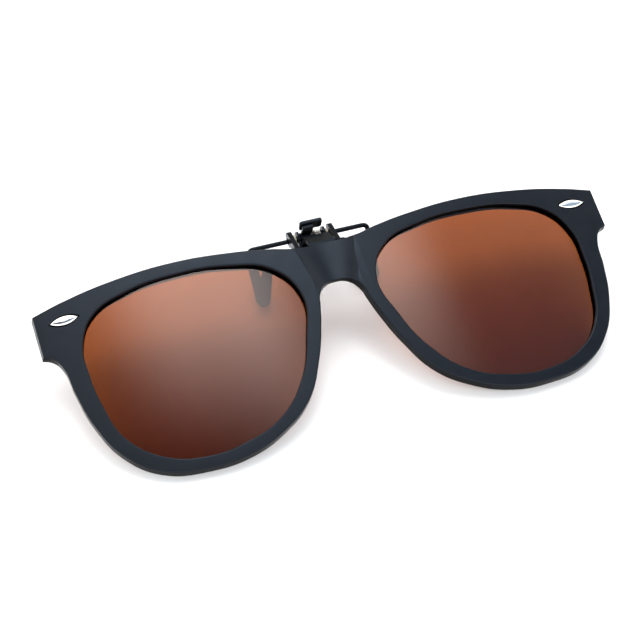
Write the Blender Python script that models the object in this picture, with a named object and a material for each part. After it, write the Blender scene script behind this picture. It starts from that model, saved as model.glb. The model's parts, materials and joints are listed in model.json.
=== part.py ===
"""Flip-up clip-on sunglasses, as they lie front side up on a table.

The front rests on the lower rims and the clip's prongs prop up its upper edge. Every
piece is drawn in millimetres around the flip axis: X to the right, Y from the front
face backwards, Z up along the lenses. Pivots then turn each group into its lying pose.
"""
import bpy
import bmesh
from math import atan2, cos, pi, radians, sin
from mathutils import Matrix, Vector

MM = 0.001

# The lying pose
FRONT_TILT = radians(-71.25)      # lens plane, from upright to nearly flat
CLIP_OPEN = radians(31.7)         # prongs, from parallel with the lens plane

# Flip axis, from the middle of the bridge's front face at lens height
AXIS_BACK = 10.9
AXIS_UP = 29.1

# Plastic front
THICKNESS = 3.0
EDGE = 0.35                       # rounding of the outer edges
BOW = 0.00048                     # depth gained per square millimetre off centre
LENS_CENTRE = 37.2
BROW_POINTS = ((0.0, 21.7), (7.5, 21.5), (13.5, 22.8), (22.0, 24.2), (37.0, 25.4),
               (52.0, 24.5), (65.0, 22.2))
END_CORNERS = ((72.3, 20.2), (72.0, 9.6))
NOTCH_POINTS = ((70.2, 8.7), (68.4, 6.0))
RIM_POINTS = ((67.0, -1.5), (64.9, -9.8), (60.0, -19.2), (52.5, -25.2), (42.0, -27.3),
              (32.0, -26.6), (23.0, -23.0), (15.8, -17.4), (10.8, -8.8), (7.2, 0.8),
              (6.0, 5.2), (5.2, 8.0), (3.0, 10.6))
ARCH_TOP = 11.3
OPENING_POINTS = ((62.9, 2.5), (62.6, 10.0), (58.6, 17.0), (50.0, 20.7), (37.2, 22.1),
                  (24.5, 21.0), (14.5, 17.4), (9.6, 9.0), (11.6, -1.6), (16.2, -12.1),
                  (23.3, -19.8), (32.5, -23.5), (42.0, -24.4), (51.2, -21.9),
                  (58.6, -15.2), (61.8, -5.6))

# Lenses sit in a rebate cut from behind
LENS_THICKNESS = 0.8
LENS_FRONT = 1.25
SHELF_FRONT = 0.95
LENS_OVERLAP = 0.7
REBATE_OVERLAP = 1.0

# Scooped bridge
SCOOP_TOP_Z = 21.0
SCOOP_TOP_HALF = 7.8
SCOOP_LOW_Z = 8.5
SCOOP_LOW_HALF = 4.8
SCOOP_DEPTH = 1.2

# Corner ornaments
RIVET_X = 65.4
RIVET_Z = 17.3
RIVET_LENGTH = 6.8
RIVET_HEIGHT = 2.25
RIVET_TILT = radians(-5.0)
RIVET_PROUD = 0.35
RIVET_STEM = 1.4

# Hinge bracket
SHEET = 0.8
EAR_X = 5.4
EAR_SHEET = 1.2
EAR_FRONT = (3.4, 19.0)           # depth and height of the ear's front foot
EAR_BACK = (4.0, 17.0)
EAR_WAIST = (7.9, 25.2)
EAR_CROWN = (-0.2, 0.8)           # centre of the round top, from the flip axis
EAR_RADIUS = 1.55
BASE_HALF = 6.8
BASE_LOW = 12.6
BASE_FRONT = 3.3
BASE_TOP = 20.8
SHOULDER_TOP = 22.2               # beside each ear, with a gap to the floor
FLOOR_HEIGHT = 22.0
FLOOR_SHEET = 0.6
FLOOR_FRONT = 1.8
RAMP_HALF = 3.3
RAMP_LENGTH = 4.75
RAMP_SLOPE = radians(55.0)
SCREW_X = 4.4
SCREW_Z = 16.0
SCREW_RADIUS = 0.6
SCREW_HEAD_RADIUS = 1.25
SCREW_HEAD = 0.6
SCREW_BITE = 0.9
SCREW_SLOT = 0.3
GAP = 0.3                         # clearance between neighbouring pieces

# Clip, drawn around the flip axis with its prongs hanging down
WIRE = 0.6
THIN_WIRE = 0.5
BAR_HALF = 15.9
REAR_TIP_X = 14.9
REAR_SHIFT = -0.7                 # both wires have slid a little to the left
FRONT_SHIFT = -1.8
BEND = 1.4
TIP_DROP = 14.4
FRONT_BAR_HALF = 10.9
FRONT_BAR = (0.7, -2.4)           # depth and height of the front jaw's crossbar
FRONT_KNEE = (10.9, -2.3, -4.4)   # where the front prong turns down beside the rear one
FRONT_TIP = (14.5, -2.4, -TIP_DROP)
FRONT_PAD = (1.4, 1.8)            # half widths at the top and near the tip
REAR_PAD = (1.15, 1.55)
PAD_HALF_DEPTH = 0.95
PAD_TOP = 1.5
PAD_SIDES = 16
PAD_ROWS = 6
CHEEK_X = 3.4
CHEEK_SHEET = 0.6
CHEEK_RADIUS = 2.0
WEB_BACK = 2.6
BUSH_RADIUS = 1.35
SPRING_WIRE = 0.22
SPRING_RADIUS = 1.35
SPRING_TURNS = 4
SPRING_START = 0.85
SPRING_PITCH = 0.5
SPRING_TAIL = 1.0
SPRING_STEPS = 12
HUB_LOW_X = -2.7
HUB_HIGH_X = -0.2
HUB_RADIUS = 1.5
NECK_HALF = 1.4
NECK_X = -1.1
NECK_FOOT = (0.0, 1.0)            # depth and height of the lever's neck
NECK_TOP = (-2.25, 1.94)
TONGUE = 2.0
LEVER_SHEET = 0.6
TAB_SLOPE = radians(147.3)
TAB_HALF = 2.95
TAB_LENGTH = 3.4
TAB_SHEET = 0.9
TAB_CORNER = 0.7


def new_collection(name):
    collection = bpy.data.collections.new(name)
    bpy.context.scene.collection.children.link(collection)
    return collection


def clear_scene():
    for obj in list(bpy.data.objects):
        bpy.data.objects.remove(obj, do_unlink=True)


def make_material(name, colour, roughness, metallic=0.0, alpha=1.0):
    material = bpy.data.materials.new(name)
    material.use_nodes = True
    shader = material.node_tree.nodes["Principled BSDF"]
    shader.inputs["Base Color"].default_value = (*colour, 1.0)
    shader.inputs["Roughness"].default_value = roughness
    shader.inputs["Metallic"].default_value = metallic
    shader.inputs["Alpha"].default_value = alpha
    return material


def scaled(point):
    return Vector(point) * MM


def front_point(x, depth, height):
    """A point of the front, given from the lens centre line and the front face."""
    return Vector((x, depth - AXIS_BACK, height - AXIS_UP))


def link(obj, collection, pivot=None, material=None):
    collection.objects.link(obj)
    obj.parent = pivot
    if material:
        obj.data.materials.clear()
        obj.data.materials.append(material)
    return obj


def mesh_from_curve(curve, name):
    """Turn a curve datablock into a welded mesh."""
    holder = bpy.data.objects.new(name, curve)
    bpy.context.scene.collection.objects.link(holder)
    bpy.context.view_layer.update()
    depsgraph = bpy.context.evaluated_depsgraph_get()
    mesh = bpy.data.meshes.new_from_object(holder.evaluated_get(depsgraph))
    bpy.data.objects.remove(holder, do_unlink=True)
    mesh.name = name
    work = bmesh.new()
    work.from_mesh(mesh)
    bmesh.ops.remove_doubles(work, verts=work.verts, dist=0.000002)
    bmesh.ops.recalc_face_normals(work, faces=work.faces)
    work.to_mesh(mesh)
    work.free()
    return mesh


def add_smooth_spline(curve, points, corners=()):
    """A closed Bezier outline through points; corners stay sharp."""
    spline = curve.splines.new("BEZIER")
    spline.bezier_points.add(len(points) - 1)
    spline.use_cyclic_u = True
    for knot, point in zip(spline.bezier_points, points):
        knot.co = (point[0] * MM, point[1] * MM, 0.0)
        kind = "VECTOR" if point in corners else "AUTO"
        knot.handle_left_type = kind
        knot.handle_right_type = kind


def outline_plate(name, outlines, thickness, edge=0.0, corners=(), resolution=5):
    """A flat plate of the outlines, in the XZ plane, from Y 0 backwards."""
    curve = bpy.data.curves.new(name, "CURVE")
    curve.dimensions = "2D"
    curve.fill_mode = "BOTH"
    curve.resolution_u = resolution
    curve.extrude = (thickness / 2 - edge) * MM
    curve.bevel_depth = edge * MM
    curve.bevel_resolution = 1
    curve.offset = -edge * MM
    for points in outlines:
        add_smooth_spline(curve, points, corners)
    mesh = mesh_from_curve(curve, name)
    stand_up = Matrix.Rotation(radians(90), 4, "X")
    mesh.transform(Matrix.Translation((0, thickness / 2 * MM, 0)) @ stand_up)
    return mesh


def grown(points, amount):
    """Move a closed outline outwards by an amount, point by point."""
    result = []
    for index, point in enumerate(points):
        before = Vector(points[index - 1])
        after = Vector(points[(index + 1) % len(points)])
        along = (after - before).normalized()
        result.append((point[0] + along.y * amount, point[1] - along.x * amount))
    return result


def mirrored(points):
    return [(-x, y) for x, y in reversed(points)]


def tube_mesh(name, points, radius, resolution=2):
    """A round wire along a polyline."""
    curve = bpy.data.curves.new(name, "CURVE")
    curve.dimensions = "3D"
    curve.bevel_depth = radius * MM
    curve.bevel_resolution = resolution
    curve.use_fill_caps = True
    spline = curve.splines.new("POLY")
    spline.points.add(len(points) - 1)
    for knot, point in zip(spline.points, points):
        knot.co = (*scaled(point), 1.0)
    return mesh_from_curve(curve, name)


def rounded_path(points, radius, steps=4):
    """A polyline whose inner corners are replaced by arcs."""
    path = [Vector(points[0])]
    for before, corner, after in zip(points, points[1:], points[2:]):
        corner = Vector(corner)
        start = (Vector(before) - corner).normalized()
        end = (Vector(after) - corner).normalized()
        for step in range(steps + 1):
            blend = step / steps
            leaving = start * radius * (1 - blend) ** 2
            arriving = end * radius * blend ** 2
            path.append(corner + leaving + arriving)
    path.append(Vector(points[-1]))
    return path


def cylinder_mesh(name, radius, length, axis, segments=20):
    """A cylinder centred on the origin, along X, Y or Z."""
    work = bmesh.new()
    bmesh.ops.create_cone(work, cap_ends=True, segments=segments, radius1=radius * MM,
                          radius2=radius * MM, depth=length * MM)
    turn = {"X": Matrix.Rotation(pi / 2, 4, "Y"), "Y": Matrix.Rotation(pi / 2, 4, "X"),
            "Z": Matrix.Identity(4)}
    bmesh.ops.transform(work, matrix=turn[axis], verts=work.verts)
    mesh = bpy.data.meshes.new(name)
    work.to_mesh(mesh)
    work.free()
    return mesh


def box_mesh(name, low, high):
    work = bmesh.new()
    bmesh.ops.create_cube(work, size=1.0)
    low, high = Vector(low), Vector(high)
    for vertex in work.verts:
        for axis in range(3):
            vertex.co[axis] = (low[axis] if vertex.co[axis] < 0 else high[axis]) * MM
    mesh = bpy.data.meshes.new(name)
    work.to_mesh(mesh)
    work.free()
    return mesh


def moved(mesh, offset):
    mesh.transform(Matrix.Translation(scaled(offset)))
    return mesh


def boolean(target, cutter_mesh, operation, pivot):
    """Cut or join a mesh with a hidden helper object under the same pivot."""
    cutter = bpy.data.objects.new(cutter_mesh.name, cutter_mesh)
    link(cutter, cutters, pivot)
    cutter.hide_render = True
    cutter.display_type = "WIRE"
    modifier = target.modifiers.new(cutter.name, "BOOLEAN")
    modifier.operation = operation
    modifier.solver = "EXACT"
    modifier.object = cutter


def cut(target, cutter_mesh, pivot):
    boolean(target, cutter_mesh, "DIFFERENCE", pivot)


def join(target, extra_mesh, pivot):
    boolean(target, extra_mesh, "UNION", pivot)


def bake(obj):
    """Apply an object's modifiers to its mesh."""
    bpy.context.view_layer.update()
    depsgraph = bpy.context.evaluated_depsgraph_get()
    mesh = bpy.data.meshes.new_from_object(obj.evaluated_get(depsgraph))
    obj.modifiers.clear()
    obj.data = mesh


def bow(mesh):
    """Bend a flat front piece backwards towards its ends."""
    for vertex in mesh.vertices:
        offset = vertex.co.x / MM
        vertex.co.y += BOW * offset * offset * MM


def part(name, mesh, pivot, material):
    mesh.name = name
    obj = bpy.data.objects.new(name, mesh)
    return link(obj, parts, pivot, material)


def fit_to_front(mesh):
    """Bow a mesh drawn from the lens centre line and move it to the flip axis."""
    bow(mesh)
    moved(mesh, (0, -AXIS_BACK, -AXIS_UP))


def front_outline():
    half = list(BROW_POINTS[1:]) + list(END_CORNERS) + list(NOTCH_POINTS) + list(RIM_POINTS)
    return [BROW_POINTS[0]] + half + [(0.0, ARCH_TOP)] + mirrored(half)


def scoop_mesh():
    """A cone lying on the bridge whose edges follow the two creases."""
    low_radius = (SCOOP_LOW_HALF ** 2 + SCOOP_DEPTH ** 2) / (2 * SCOOP_DEPTH)
    top_radius = (SCOOP_TOP_HALF ** 2 + SCOOP_DEPTH ** 2) / (2 * SCOOP_DEPTH)
    span = SCOOP_TOP_Z - SCOOP_LOW_Z
    slope = (top_radius - low_radius) / span
    reach = 4.0
    work = bmesh.new()
    bmesh.ops.create_cone(work, cap_ends=True, segments=96,
                          radius1=(low_radius - reach * slope) * MM,
                          radius2=(top_radius + reach * slope) * MM,
                          depth=(span + 2 * reach) * MM)
    middle = (SCOOP_TOP_Z + SCOOP_LOW_Z) / 2
    for vertex in work.verts:
        height = vertex.co.z / MM + middle
        radius = low_radius + (height - SCOOP_LOW_Z) * slope
        vertex.co.z += middle * MM
        vertex.co.y += (SCOOP_DEPTH - radius) * MM
    mesh = bpy.data.meshes.new("bridge_scoop")
    work.to_mesh(mesh)
    work.free()
    return mesh


def almond(length, height):
    """A pointed oval outline as two arcs."""
    half, rise = length / 2, height / 2
    radius = (half ** 2 + rise ** 2) / (2 * rise)
    points = []
    for side in (1, -1):
        for step in range(8):
            x = half - length * step / 8
            y = (radius ** 2 - x ** 2) ** 0.5 - (radius - rise)
            points.append((side * x, side * y))
    return points


def turned_about(points, angle, centre):
    turn = Matrix.Rotation(angle, 2)
    return [tuple(turn @ Vector(point) + Vector(centre)) for point in points]


def rivet_outline(side, extra=0.0):
    shape = almond(RIVET_LENGTH + 3 * extra, RIVET_HEIGHT + 2 * extra)
    return turned_about(shape, RIVET_TILT * side, (RIVET_X * side, RIVET_Z))


def polygon_plate(name, points, thickness):
    """A flat plate with straight edges, in the XZ plane, from Y 0 backwards."""
    return outline_plate(name, [points], thickness, corners=tuple(points), resolution=1)


def make_front(pivot):
    holes = [list(OPENING_POINTS), mirrored(OPENING_POINTS)]
    corners = list(END_CORNERS) + mirrored(END_CORNERS)
    mesh = outline_plate("front_frame", [front_outline()] + holes, THICKNESS, EDGE, corners)
    frame = part("front_frame", mesh, pivot, plastic)
    for side, hole in zip(("right", "left"), holes):
        rebate = outline_plate(f"rebate_{side}", [grown(hole, REBATE_OVERLAP)], THICKNESS)
        cut(frame, moved(rebate, (0, SHELF_FRONT, 0)), pivot)
    cut(frame, scoop_mesh(), pivot)
    for side in (1, -1):
        slot = polygon_plate("rivet_slot", rivet_outline(side, GAP), 2 * RIVET_STEM)
        cut(frame, moved(slot, (0, GAP - RIVET_STEM, 0)), pivot)
        hole = cylinder_mesh("screw_hole", SCREW_RADIUS + GAP, 2 * (SCREW_BITE + GAP), "Y")
        cut(frame, moved(hole, (SCREW_X * side, THICKNESS, SCREW_Z)), pivot)
    bake(frame)
    fit_to_front(frame.data)


def make_lens(name, side, pivot):
    outline = grown(OPENING_POINTS, LENS_OVERLAP)
    if side < 0:
        outline = mirrored(outline)
    mesh = outline_plate(name, [outline], LENS_THICKNESS)
    fit_to_front(moved(mesh, (0, LENS_FRONT, 0)))
    part(name, mesh, pivot, lens_tint)


def make_rivet(name, side, pivot):
    mesh = polygon_plate(name, rivet_outline(side), RIVET_STEM + RIVET_PROUD)
    fit_to_front(moved(mesh, (0, -RIVET_PROUD, 0)))
    part(name, mesh, pivot, polished)


def side_plate(name, points, x, thickness):
    """A flat plate in the YZ plane, centred on x; points are depth and height."""
    mesh = polygon_plate(name, points, thickness)
    mesh.transform(Matrix.Rotation(pi / 2, 4, "Z"))
    return moved(mesh, (x + thickness / 2, 0, 0))


def ear_mesh(name, x):
    """A sheet ear from the bridge's top back to the eye around the flip axis."""
    front, back, waist = (Vector((y - AXIS_BACK, z - AXIS_UP))
                          for y, z in (EAR_FRONT, EAR_BACK, EAR_WAIST))
    points = [tuple(waist), tuple(back), tuple(front)]
    start = atan2(-front.y, -front.x) + pi / 2
    for step in range(9):
        angle = start - pi * step / 8
        points.append((EAR_CROWN[0] + EAR_RADIUS * cos(angle),
                       EAR_CROWN[1] + EAR_RADIUS * sin(angle)))
    points.append((EAR_RADIUS * cos(start - pi), EAR_RADIUS * sin(start - pi)))
    return side_plate(name, points, x, EAR_SHEET)


def ramp_mesh():
    """The plate that rises backwards from the bridge's top."""
    mesh = box_mesh("ramp", (-RAMP_HALF, 0, -FLOOR_SHEET), (RAMP_HALF, RAMP_LENGTH, 0))
    mesh.transform(Matrix.Rotation(RAMP_SLOPE, 4, "X"))
    return moved(mesh, front_point(0, FLOOR_FRONT + FLOOR_SHEET, FLOOR_HEIGHT + FLOOR_SHEET))


def base_block(half, bottom, top, front=BASE_FRONT):
    low = front_point(-half, front, bottom)
    high = front_point(half, BASE_FRONT + SHEET, top)
    return box_mesh("hinge_bracket", low, high)


def make_bracket(pivot):
    """Base with two shoulders, and a narrower floor that carries the ramp."""
    base = base_block(BASE_HALF, BASE_LOW, BASE_TOP)
    bracket = part("hinge_bracket", base, pivot, black_steel)
    join(bracket, base_block(RAMP_HALF, BASE_LOW, FLOOR_HEIGHT + FLOOR_SHEET), pivot)
    join(bracket, base_block(RAMP_HALF, FLOOR_HEIGHT, FLOOR_HEIGHT + FLOOR_SHEET,
                             FLOOR_FRONT), pivot)
    join(bracket, ramp_mesh(), pivot)
    for side in (1, -1):
        inner, outer = EAR_X - EAR_SHEET / 2, BASE_HALF
        shoulder = base_block((outer - inner) / 2, BASE_LOW, SHOULDER_TOP)
        join(bracket, moved(shoulder, (side * (inner + outer) / 2, 0, 0)), pivot)
        join(bracket, ear_mesh("ear", EAR_X * side), pivot)
        bore = cylinder_mesh("ear_bore", WIRE + GAP, 3 * EAR_SHEET, "X")
        cut(bracket, moved(bore, (EAR_X * side, 0, 0)), pivot)
        hole = cylinder_mesh("bracket_hole", SCREW_RADIUS + GAP, 4 * SHEET, "Y")
        cut(bracket, moved(hole, front_point(SCREW_X * side, BASE_FRONT, SCREW_Z)), pivot)


def make_screw(name, side, pivot):
    head_front = BASE_FRONT + SHEET + GAP
    shank_front = THICKNESS - SCREW_BITE
    length = head_front + SCREW_HEAD / 2 - shank_front
    shank = cylinder_mesh(name, SCREW_RADIUS, length, "Y")
    place = front_point(SCREW_X * side, shank_front + length / 2, SCREW_Z)
    screw = part(name, moved(shank, place), pivot, steel)
    head = cylinder_mesh(f"{name}_head", SCREW_HEAD_RADIUS, SCREW_HEAD, "Y")
    place = front_point(SCREW_X * side, head_front + SCREW_HEAD / 2, SCREW_Z)
    join(screw, moved(head, place), pivot)
    half = SCREW_SLOT / 2
    slot = box_mesh(f"{name}_slot", (-2, -half, -half), (2, half, half))
    cut(screw, moved(slot, front_point(SCREW_X * side, head_front + SCREW_HEAD, SCREW_Z)), pivot)


def make_channel(pivot):
    """Two cheeks on the flip axis, joined by a web behind it."""
    bar_y, bar_z = FRONT_BAR
    low = bar_z - THIN_WIRE - 2 * GAP
    web = box_mesh("clip_channel", (-CHEEK_X, WEB_BACK - CHEEK_SHEET, low),
                   (CHEEK_X, WEB_BACK, CHEEK_RADIUS / 2))
    channel = part("clip_channel", web, pivot, black_steel)
    outline = [(WEB_BACK, low), (bar_y - 4 * GAP, low)]
    for step in range(9):
        angle = pi * 1.15 - pi * 0.9 * step / 8
        outline.append((CHEEK_RADIUS * cos(angle), CHEEK_RADIUS * sin(angle)))
    outline.append((WEB_BACK, CHEEK_RADIUS / 2))
    for side in (1, -1):
        x = CHEEK_X * side
        join(channel, side_plate("cheek", outline, x, CHEEK_SHEET), pivot)
        bore = cylinder_mesh("cheek_bore", WIRE + GAP, 3 * CHEEK_SHEET, "X")
        cut(channel, moved(bore, (x, 0, 0)), pivot)
        bore = cylinder_mesh("crossbar_bore", THIN_WIRE + GAP, 3 * CHEEK_SHEET, "X", 12)
        cut(channel, moved(bore, (x, bar_y, bar_z)), pivot)


def make_bush(name, side, pivot):
    """The friction bush between a cheek and an ear."""
    inner = CHEEK_X + CHEEK_SHEET / 2 + GAP
    outer = EAR_X - EAR_SHEET / 2 - GAP
    mesh = cylinder_mesh(name, BUSH_RADIUS, outer - inner, "X")
    bush = part(name, moved(mesh, (side * (inner + outer) / 2, 0, 0)), pivot, nylon)
    bore = cylinder_mesh(f"{name}_bore", WIRE + GAP, 2 * (outer - inner), "X")
    cut(bush, moved(bore, (side * (inner + outer) / 2, 0, 0)), pivot)


def rear_leg():
    """Tip and top corner of the rear jaw's right prong."""
    return Vector((REAR_TIP_X, 0, -TIP_DROP)), Vector((BAR_HALF, 0, 0))


def make_wires(clip, jaw):
    flip = Vector((-1, 1, 1))
    tip, corner = rear_leg()
    tip += (corner - tip).normalized() * PAD_HALF_DEPTH
    route = [tip, corner, corner * flip, tip * flip]
    mesh = tube_mesh("rear_jaw_wire", rounded_path(route, BEND), WIRE)
    part("rear_jaw_wire", moved(mesh, (REAR_SHIFT, 0, 0)), jaw, black_steel)
    top, knee, tip = Vector((FRONT_BAR_HALF, *FRONT_BAR)), Vector(FRONT_KNEE), Vector(FRONT_TIP)
    tip += (knee - tip).normalized() * PAD_HALF_DEPTH
    route = [tip, knee, top, top * flip, knee * flip, tip * flip]
    mesh = tube_mesh("front_jaw_wire", rounded_path(route, BEND), THIN_WIRE)
    part("front_jaw_wire", moved(mesh, (FRONT_SHIFT, 0, 0)), clip, black_steel)


def pad_mesh(name, length, top_half, low_half):
    """A flattened, flaring rubber sleeve with a round end, hanging from the origin."""
    profile = []
    for row in range(PAD_ROWS + 1):
        drop = row / PAD_ROWS
        half = top_half + (low_half - top_half) * drop
        profile.append((half, -(length - low_half) * drop))
    for step in range(1, 6):
        angle = pi / 2 * step / 6
        profile.append((low_half * cos(angle),
                        -(length - low_half) - low_half * sin(angle)))
    work = bmesh.new()
    rings = []
    for half, height in profile:
        depth = min(PAD_HALF_DEPTH, half)
        ring = []
        for corner in range(PAD_SIDES):
            angle = 2 * pi * corner / PAD_SIDES
            place = scaled((half * cos(angle), depth * sin(angle), height))
            ring.append(work.verts.new(place))
        rings.append(ring)
    for upper, lower in zip(rings, rings[1:]):
        for corner in range(PAD_SIDES):
            after = (corner + 1) % PAD_SIDES
            work.faces.new((upper[corner], upper[after], lower[after], lower[corner]))
    work.faces.new(rings[0])
    work.faces.new(rings[-1])
    bmesh.ops.recalc_face_normals(work, faces=work.faces)
    mesh = bpy.data.meshes.new(name)
    work.to_mesh(mesh)
    work.free()
    return mesh


def make_pad(name, top, tip, wire, widths, pivot):
    """A sleeve over a prong, from its top down to its tip."""
    along = (tip - top).normalized()
    length = (tip - top).length
    turn = Vector((0, 0, -1)).rotation_difference(along).to_matrix().to_4x4()
    place = Matrix.Translation(scaled(top)) @ turn
    mesh = pad_mesh(name, length, *widths)
    mesh.transform(place)
    pad = part(name, mesh, pivot, rubber)
    depth = length - PAD_HALF_DEPTH + 2 * GAP
    bore = cylinder_mesh(f"{name}_bore", wire + GAP, depth, "Z", 12)
    bore.transform(place @ Matrix.Translation(scaled((0, 0, GAP - depth / 2))))
    cut(pad, bore, pivot)


def make_pads(clip, jaw):
    knee, tip = Vector(FRONT_KNEE), Vector(FRONT_TIP)
    for side, name in ((1, "right"), (-1, "left")):
        flip = Vector((side, 1, 1))
        start = knee + (tip - knee).normalized() * PAD_TOP
        shift = Vector((FRONT_SHIFT, 0, 0))
        make_pad(f"front_pad_{name}", start * flip + shift, tip * flip + shift, THIN_WIRE,
                 FRONT_PAD, clip)
        rear_tip, corner = rear_leg()
        start = corner + (rear_tip - corner).normalized() * PAD_TOP
        shift = Vector((REAR_SHIFT, 0, 0))
        make_pad(f"rear_pad_{name}", start * flip + shift, rear_tip * flip + shift, WIRE,
                 REAR_PAD, jaw)


def slanted_plate(name, start, end, x, half, thickness):
    """A plate between two points of depth and height, centred on x."""
    start, end = Vector(start), Vector(end)
    span = end - start
    mesh = box_mesh(name, (x - half, 0, -thickness / 2), (x + half, span.length, thickness / 2))
    mesh.transform(Matrix.Rotation(atan2(span.y, span.x), 4, "X"))
    return moved(mesh, (0, start.x, start.y))


def make_lever(pivot):
    """The thumb lever: a hub on the bar, a neck and a tongue under the thumb pad."""
    hub_x = (HUB_LOW_X + HUB_HIGH_X) / 2
    hub = cylinder_mesh("thumb_lever", HUB_RADIUS, HUB_HIGH_X - HUB_LOW_X, "X")
    lever = part("thumb_lever", moved(hub, (hub_x, 0, 0)), pivot, black_steel)
    neck = slanted_plate("neck", NECK_FOOT, NECK_TOP, NECK_X, NECK_HALF, LEVER_SHEET)
    join(lever, neck, pivot)
    along = Vector((cos(TAB_SLOPE), sin(TAB_SLOPE)))
    end = Vector(NECK_TOP) + along * TONGUE
    tongue = slanted_plate("tongue", NECK_TOP, end, NECK_X, NECK_HALF, LEVER_SHEET)
    join(lever, tongue, pivot)
    bore = cylinder_mesh("hub_bore", WIRE + GAP, 2 * (HUB_HIGH_X - HUB_LOW_X), "X")
    cut(lever, moved(bore, (hub_x, 0, 0)), pivot)


def make_thumb_pad(pivot):
    """The black pad on the lever, a plate with rounded corners."""
    work = bmesh.new()
    bmesh.ops.create_cube(work, size=1.0)
    size = Vector((2 * TAB_HALF, TAB_LENGTH, TAB_SHEET)) * MM
    bmesh.ops.scale(work, vec=size, verts=work.verts)
    upright = [edge for edge in work.edges
               if abs(edge.verts[0].co.z - edge.verts[1].co.z) > 0.5 * TAB_SHEET * MM]
    bmesh.ops.bevel(work, geom=upright, offset=TAB_CORNER * MM, segments=3, affect="EDGES",
                    profile=0.5)
    mesh = bpy.data.meshes.new("thumb_pad")
    work.to_mesh(mesh)
    work.free()
    mesh.transform(Matrix.Rotation(TAB_SLOPE, 4, "X"))
    along = Vector((cos(TAB_SLOPE), sin(TAB_SLOPE)))
    outwards = Vector((along.y, -along.x))
    lift = (LEVER_SHEET + TAB_SHEET) / 2 + GAP
    centre = Vector(NECK_TOP) + along * TONGUE / 2 + outwards * lift
    part("thumb_pad", moved(mesh, (0, *centre)), pivot, plastic)


def make_spring(pivot):
    """The torsion spring around the bar, with a tail on the web and one by the neck."""
    points = [Vector((SPRING_START, -GAP, SPRING_RADIUS + SPRING_TAIL))]
    steps = SPRING_TURNS * SPRING_STEPS - SPRING_STEPS // 4
    for step in range(steps + 1):
        turns = step / SPRING_STEPS
        angle = pi / 2 - 2 * pi * turns
        points.append(Vector((SPRING_START + SPRING_PITCH * turns,
                              SPRING_RADIUS * cos(angle), SPRING_RADIUS * sin(angle))))
    points.append(Vector((SPRING_START + SPRING_TURNS * SPRING_PITCH,
                          WEB_BACK - CHEEK_SHEET - GAP - SPRING_WIRE,
                          FRONT_BAR[1] + 2 * GAP)))
    mesh = tube_mesh("jaw_spring", points, SPRING_WIRE, 1)
    part("jaw_spring", mesh, pivot, steel)


def add_pivot(name, angle):
    pivot = bpy.data.objects.new(name, None)
    bpy.context.scene.collection.objects.link(pivot)
    pivot.rotation_euler = (angle, 0, 0)
    return pivot


def world_corners():
    bpy.context.view_layer.update()
    depsgraph = bpy.context.evaluated_depsgraph_get()
    points = []
    for obj in parts.objects:
        mesh = obj.evaluated_get(depsgraph).data
        points.extend(obj.matrix_world @ vertex.co for vertex in mesh.vertices)
    low = Vector(min(point[axis] for point in points) for axis in range(3))
    high = Vector(max(point[axis] for point in points) for axis in range(3))
    return low, high


def rest_on_table(pivots):
    """Put the origin under the middle of the whole object, at table height."""
    low, high = world_corners()
    shift = Vector((0, -(low.y + high.y) / 2, -low.z))
    for pivot in pivots:
        pivot.location += shift
    bpy.context.view_layer.update()


clear_scene()
parts = new_collection("clip_on_sunglasses")
cutters = new_collection("cutters")
plastic = make_material("matte_black_plastic", (0.035, 0.038, 0.045), 0.45)
lens_tint = make_material("brown_lens", (0.35, 0.13, 0.06), 0.08, alpha=0.6)
polished = make_material("polished_steel", (0.8, 0.8, 0.8), 0.15, 1.0)
black_steel = make_material("black_steel", (0.03, 0.03, 0.035), 0.35, 0.6)
steel = make_material("steel", (0.55, 0.56, 0.58), 0.3, 1.0)
rubber = make_material("grey_rubber", (0.07, 0.07, 0.08), 0.6)
nylon = make_material("nylon", (0.55, 0.5, 0.42), 0.5)

front_pivot = add_pivot("front_pivot", FRONT_TILT)
clip_pivot = add_pivot("clip_pivot", FRONT_TILT + CLIP_OPEN)
jaw_pivot = add_pivot("rear_jaw_pivot", FRONT_TILT + CLIP_OPEN)

make_front(front_pivot)
make_bracket(front_pivot)
for facing, label in ((1, "right"), (-1, "left")):
    make_lens(f"lens_{label}", facing, front_pivot)
    make_rivet(f"corner_rivet_{label}", facing, front_pivot)
    make_screw(f"bracket_screw_{label}", facing, front_pivot)
    make_bush(f"friction_bush_{label}", facing, clip_pivot)
make_channel(clip_pivot)
make_wires(clip_pivot, jaw_pivot)
make_pads(clip_pivot, jaw_pivot)
make_lever(jaw_pivot)
make_thumb_pad(jaw_pivot)
make_spring(clip_pivot)
rest_on_table((front_pivot, clip_pivot, jaw_pivot))
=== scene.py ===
"""Looks of flip-up clip-on sunglasses that lie front side up on a white table.

Shapes are drawn in millimetres around the flip axis, X along the axis, Y from the front
face backwards and Z up along the lenses, and then turned into the pose they lie in. The
front's outlines are drawn from the middle of the lenses' height and the front face.
"""
import json
from math import atan2, cos, pi, radians, sin

import bmesh
import bpy
from mathutils import Matrix, Vector

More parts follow.
